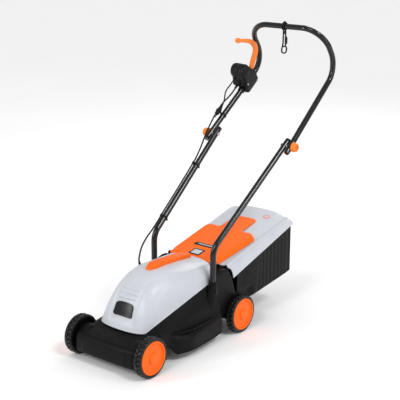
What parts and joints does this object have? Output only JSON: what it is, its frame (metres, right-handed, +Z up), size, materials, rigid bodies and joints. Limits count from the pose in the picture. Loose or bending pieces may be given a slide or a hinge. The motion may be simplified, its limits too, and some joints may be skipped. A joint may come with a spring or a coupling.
{
  "type": "push lawn mower",
  "caption": "Corded electric rotary mower with a hooded motor, a rear grass box under a hinged flap, and a folding tube handle that carries the switch lever.",
  "frame": {"origin": "on the ground under the middle of the whole mower's bounding box", "axes": "+Z up, -Y towards the mower's nose, +Y towards the handle and the user; the switch is on the -X leg"},
  "size_m": [0.43, 1.1351, 1.076],
  "materials": {
    "hood_grey": "satin moulded shell",
    "deck_black": "satin moulded shell",
    "signal_orange": "satin moulding",
    "lever_orange": "soft satin moulding",
    "tube_black": "gloss powder coat on steel tube",
    "tread_black": "matt moulded tread",
    "fitting_black": "fine-grained moulding",
    "plate_black": "smooth blank plate",
    "lead_black": "soft sheath",
    "button_black": "smooth moulding",
    "blackened_steel": "black-coated screw",
    "zinc_steel": "bright zinc",
    "blade_steel": "pressed and ground steel",
    "cast_housing": "die cast",
    "winding_copper": "laminations with lacquered windings",
    "rotor_iron": "turned laminations"
  },
  "bodies": {
    "mower": {"deck": "deck_black", "motor_hood": "hood_grey", "carry_grip": "signal_orange", "hood_badge": "plate_black", "hood_screws": "zinc_steel", "motor_housing": "cast_housing", "stator": "winding_copper", "upper_bearing": "zinc_steel", "lower_bearing": "zinc_steel", "motor_screws": "zinc_steel", "front_axle": "zinc_steel", "rear_axle": "zinc_steel", "axle_nuts": "zinc_steel", "flap_pin": "zinc_steel", "flap_spring": "zinc_steel", "lower_tube_left": "tube_black", "lower_tube_right": "tube_black", "tube_screws": "blackened_steel", "pivot_bolts": "zinc_steel", "hood_gland": "lead_black", "lead_lower": "lead_black", "lead_clips": "fitting_black"},
    "wheel_unit_front_left": {"wheel_front_left": "tread_black", "cap_front_left": "signal_orange"},
    "wheel_unit_front_right": {"wheel_front_right": "tread_black", "cap_front_right": "signal_orange"},
    "wheel_unit_rear_left": {"wheel_rear_left": "tread_black", "cap_rear_left": "signal_orange"},
    "wheel_unit_rear_right": {"wheel_rear_right": "tread_black", "cap_rear_right": "signal_orange"},
    "blade_unit": {"rotor": "rotor_iron", "cooling_fan": "fitting_black", "blade_hub": "rotor_iron", "blade": "blade_steel", "blade_bolt": "zinc_steel"},
    "flap": {"rear_flap": "signal_orange", "flap_labels": "plate_black"},
    "grass_box": {"box_body": "deck_black", "box_lid": "hood_grey", "box_screws": "zinc_steel"},
    "handle": {"upper_handle": "tube_black", "case_outer": "fitting_black", "case_inner": "fitting_black", "case_screws": "zinc_steel", "lever_pin": "zinc_steel", "lever_spring": "zinc_steel", "lock_spring": "zinc_steel", "microswitch": "plate_black", "case_gland": "lead_black", "lead_fold": "lead_black", "tail_lead": "lead_black", "tail_plug": "lead_black", "plug_strap": "lead_black"},
    "fold_knob_left": {"knob_left": "lever_orange"},
    "fold_knob_right": {"knob_right": "lever_orange"},
    "hook": {"cord_hook": "fitting_black"},
    "lever": {"switch_lever": "lever_orange"},
    "button": {"lock_button": "button_black"}
  },
  "joints": [
    {"name": "spin_front_left", "type": "hinge", "parent": "mower", "child": "wheel_unit_front_left", "pos_m": [-0.1595, -0.4965, 0.07], "axis": [1, 0, 0], "continuous": true},
    {"name": "spin_front_right", "type": "hinge", "parent": "mower", "child": "wheel_unit_front_right", "pos_m": [0.1595, -0.4965, 0.07], "axis": [1, 0, 0], "continuous": true},
    {"name": "spin_rear_left", "type": "hinge", "parent": "mower", "child": "wheel_unit_rear_left", "pos_m": [-0.1595, 0.0015, 0.07], "axis": [1, 0, 0], "continuous": true},
    {"name": "spin_rear_right", "type": "hinge", "parent": "mower", "child": "wheel_unit_rear_right", "pos_m": [0.1595, 0.0015, 0.07], "axis": [1, 0, 0], "continuous": true},
    {"name": "blade_spin", "type": "hinge", "parent": "mower", "child": "blade_unit", "pos_m": [0, -0.2715, 0.045], "axis": [0, 0, 1], "continuous": true},
    {"name": "flap_hinge", "type": "hinge", "parent": "mower", "child": "flap", "pos_m": [0, -0.0825, 0.274], "axis": [1, 0, 0], "range_deg": [0, 75], "stiffness_Nm_per_rad": 0.25, "springref_deg": -17.19},
    {"name": "box_slide", "type": "slide", "parent": "mower", "child": "grass_box", "axis": [0, 1, 0], "range_m": [0, 0.3]},
    {"name": "handle_fold", "type": "hinge", "parent": "mower", "child": "handle", "pos_m": [0, 0.2615, 0.651], "axis": [1, 0, 0], "range_deg": [0, 140], "deforming": ["lead_fold"]},
    {"name": "knob_turn_left", "type": "hinge", "parent": "mower", "child": "fold_knob_left", "pos_m": [-0.203, 0.2615, 0.651], "axis": [-1, 0, 0], "range_deg": [0, 720]},
    {"name": "knob_turn_right", "type": "hinge", "parent": "mower", "child": "fold_knob_right", "pos_m": [0.203, 0.2615, 0.651], "axis": [1, 0, 0], "range_deg": [0, 720]},
    {"name": "hook_swing", "type": "hinge", "parent": "handle", "child": "hook", "pos_m": [0, 0.4785, 1.056], "axis": [1, 0, 0], "range_deg": [-50, 50]},
    {"name": "lever_pull", "type": "hinge", "parent": "handle", "child": "lever", "pos_m": [-0.1557, 0.4823, 0.86804], "axis": [-1, 0, 0], "range_deg": [0, 18], "stiffness_Nm_per_rad": 0.4, "springref_deg": -17.19},
    {"name": "lock_press", "type": "slide", "parent": "handle", "child": "button", "axis": [-1, 0, 0], "range_m": [0, 0.004], "stiffness_N_per_m": 300, "springref_m": -0.002}
  ]
}
